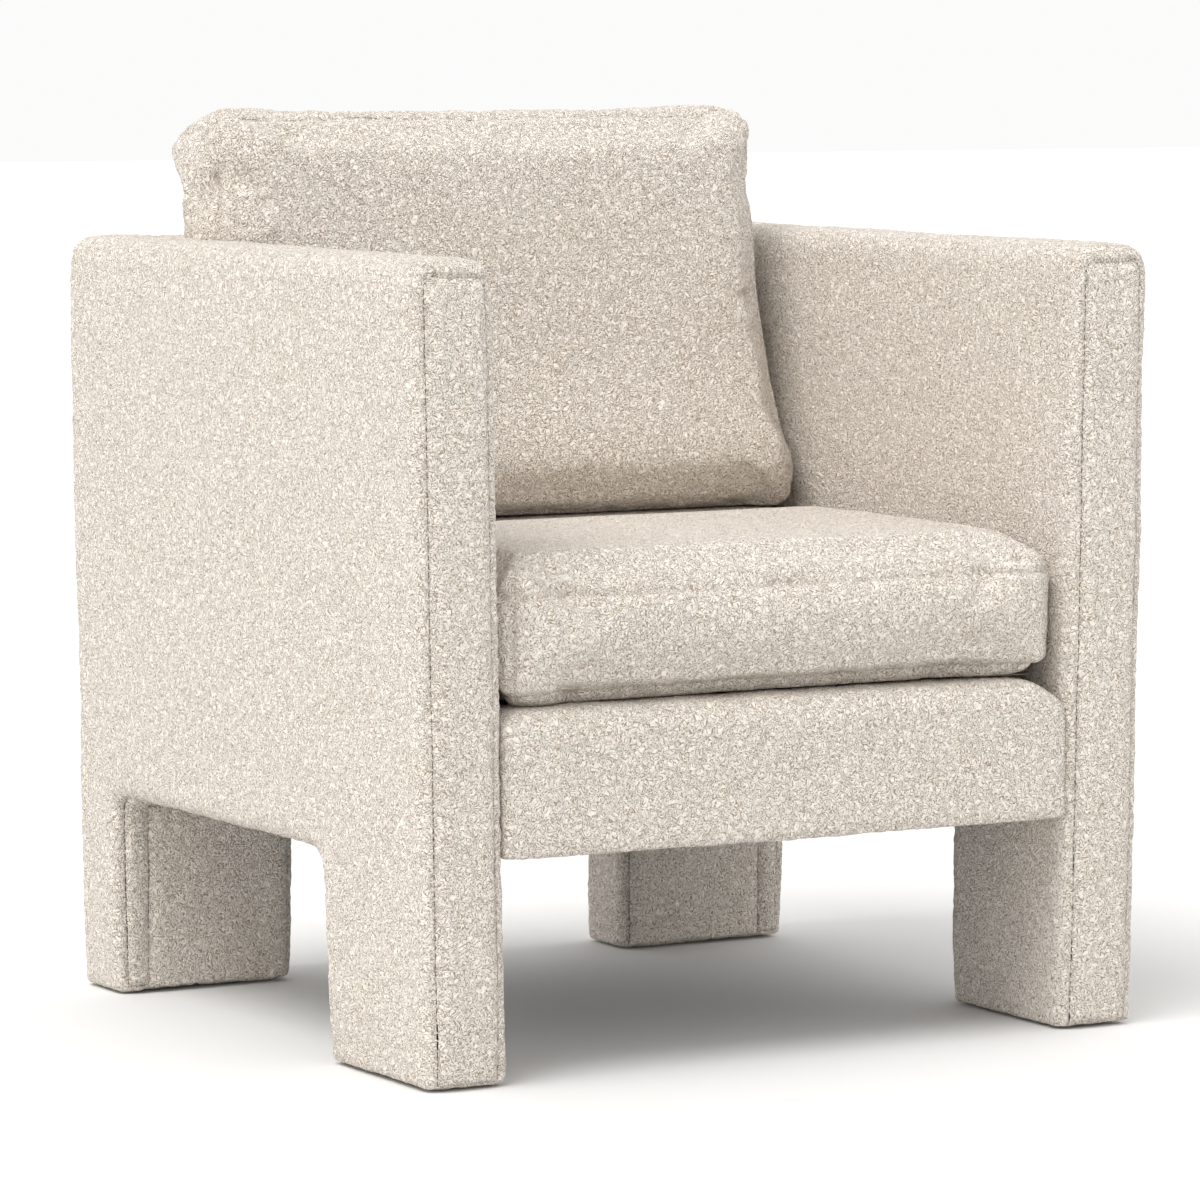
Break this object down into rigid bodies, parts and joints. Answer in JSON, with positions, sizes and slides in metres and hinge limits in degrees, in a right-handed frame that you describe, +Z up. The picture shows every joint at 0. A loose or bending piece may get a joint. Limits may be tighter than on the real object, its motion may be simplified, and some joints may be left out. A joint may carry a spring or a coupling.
{
  "type": "upholstered armchair",
  "caption": "Square upholstered armchair with slab arms, arched sides, padded legs and loose seat and back cushions.",
  "frame": {"origin": "on the floor under the middle of the chair", "axes": "+Z up, -Y the front of the seat, +X the right side of the chair seen from the front"},
  "size_m": [0.7434, 0.682, 0.818],
  "materials": {
    "boucle": "cream boucle weave",
    "deck_fabric": "plain cream platform cloth",
    "black_cambric": "thin black nonwoven cloth",
    "foam": "open-cell upholstery foam",
    "wadding": "white polyester wadding",
    "webbing": "elastic webbing with stripes",
    "timber": "planed beech, unfinished",
    "hardboard": "pressed fibre board",
    "spring_steel": "drawn spring wire",
    "zinc_steel": "zinc plated",
    "glide_plastic": "black nylon",
    "zip_tape": "woven tape with nylon coil",
    "zip_metal": "nickel plated zinc"
  },
  "bodies": {
    "chair_frame": {"back_centre_post": "timber", "back_lower_rail": "timber", "back_pad": "wadding", "back_top_rail": "timber", "back_webbing": "webbing", "corner_blocks": "timber", "deck_cloth": "deck_fabric", "deck_pad": "foam", "dust_cover": "black_cambric", "foot_blocks": "timber", "front_rail_cover": "boucle", "front_rail_foam": "foam", "front_seat_rail": "timber", "glides": "glide_plastic", "inside_back_cover": "boucle", "inside_back_foam": "foam", "left_arch_lining": "boucle", "left_arm_cover": "boucle", "left_arm_front_panel": "boucle", "left_arm_inner_board": "hardboard", "left_arm_lower_rail": "timber", "left_arm_outer_board": "hardboard", "left_arm_pad": "wadding", "left_arm_top_rail": "timber", "left_corner_post": "timber", "left_front_leg_upright": "timber", "left_front_upright": "timber", "left_rear_leg_upright": "timber", "left_rear_leg_wrap": "boucle", "left_seat_rail": "timber", "outside_back_board": "hardboard", "outside_back_cover": "boucle", "rail_screws": "zinc_steel", "rear_seat_rail": "timber", "right_arch_lining": "boucle", "right_arm_cover": "boucle", "right_arm_front_panel": "boucle", "right_arm_inner_board": "hardboard", "right_arm_lower_rail": "timber", "right_arm_outer_board": "hardboard", "right_arm_pad": "wadding", "right_arm_top_rail": "timber", "right_corner_post": "timber", "right_front_leg_upright": "timber", "right_front_upright": "timber", "right_rear_leg_upright": "timber", "right_rear_leg_wrap": "boucle", "right_seat_rail": "timber", "seat_bolts": "zinc_steel", "seat_springs": "spring_steel", "spring_clips": "zinc_steel", "tie_wires": "spring_steel"},
    "seat_cushion": {"seat_cushion_cover": "boucle", "seat_cushion_foam": "foam", "seat_cushion_zip": "zip_tape"},
    "back_cushion": {"back_cushion_cover": "boucle", "back_cushion_filling": "wadding", "back_cushion_zip": "zip_tape"},
    "seat_zip_slider_body": {"seat_zip_slider": "zip_metal"},
    "back_zip_slider_body": {"back_zip_slider": "zip_metal"}
  },
  "joints": [
    {"name": "seat_cushion_slide", "type": "slide", "parent": "chair_frame", "child": "seat_cushion", "axis": [0, -1, 0], "range_m": [0, 0.62]},
    {"name": "back_cushion_lift", "type": "slide", "parent": "chair_frame", "child": "back_cushion", "axis": [0, 0, 1], "range_m": [0, 0.3]},
    {"name": "seat_zip_slide", "type": "slide", "parent": "seat_cushion", "child": "seat_zip_slider_body", "axis": [1, 0, 0], "range_m": [0, 0.42]},
    {"name": "back_zip_slide", "type": "slide", "parent": "back_cushion", "child": "back_zip_slider_body", "axis": [1, 0, 0], "range_m": [0, 0.42]}
  ]
}
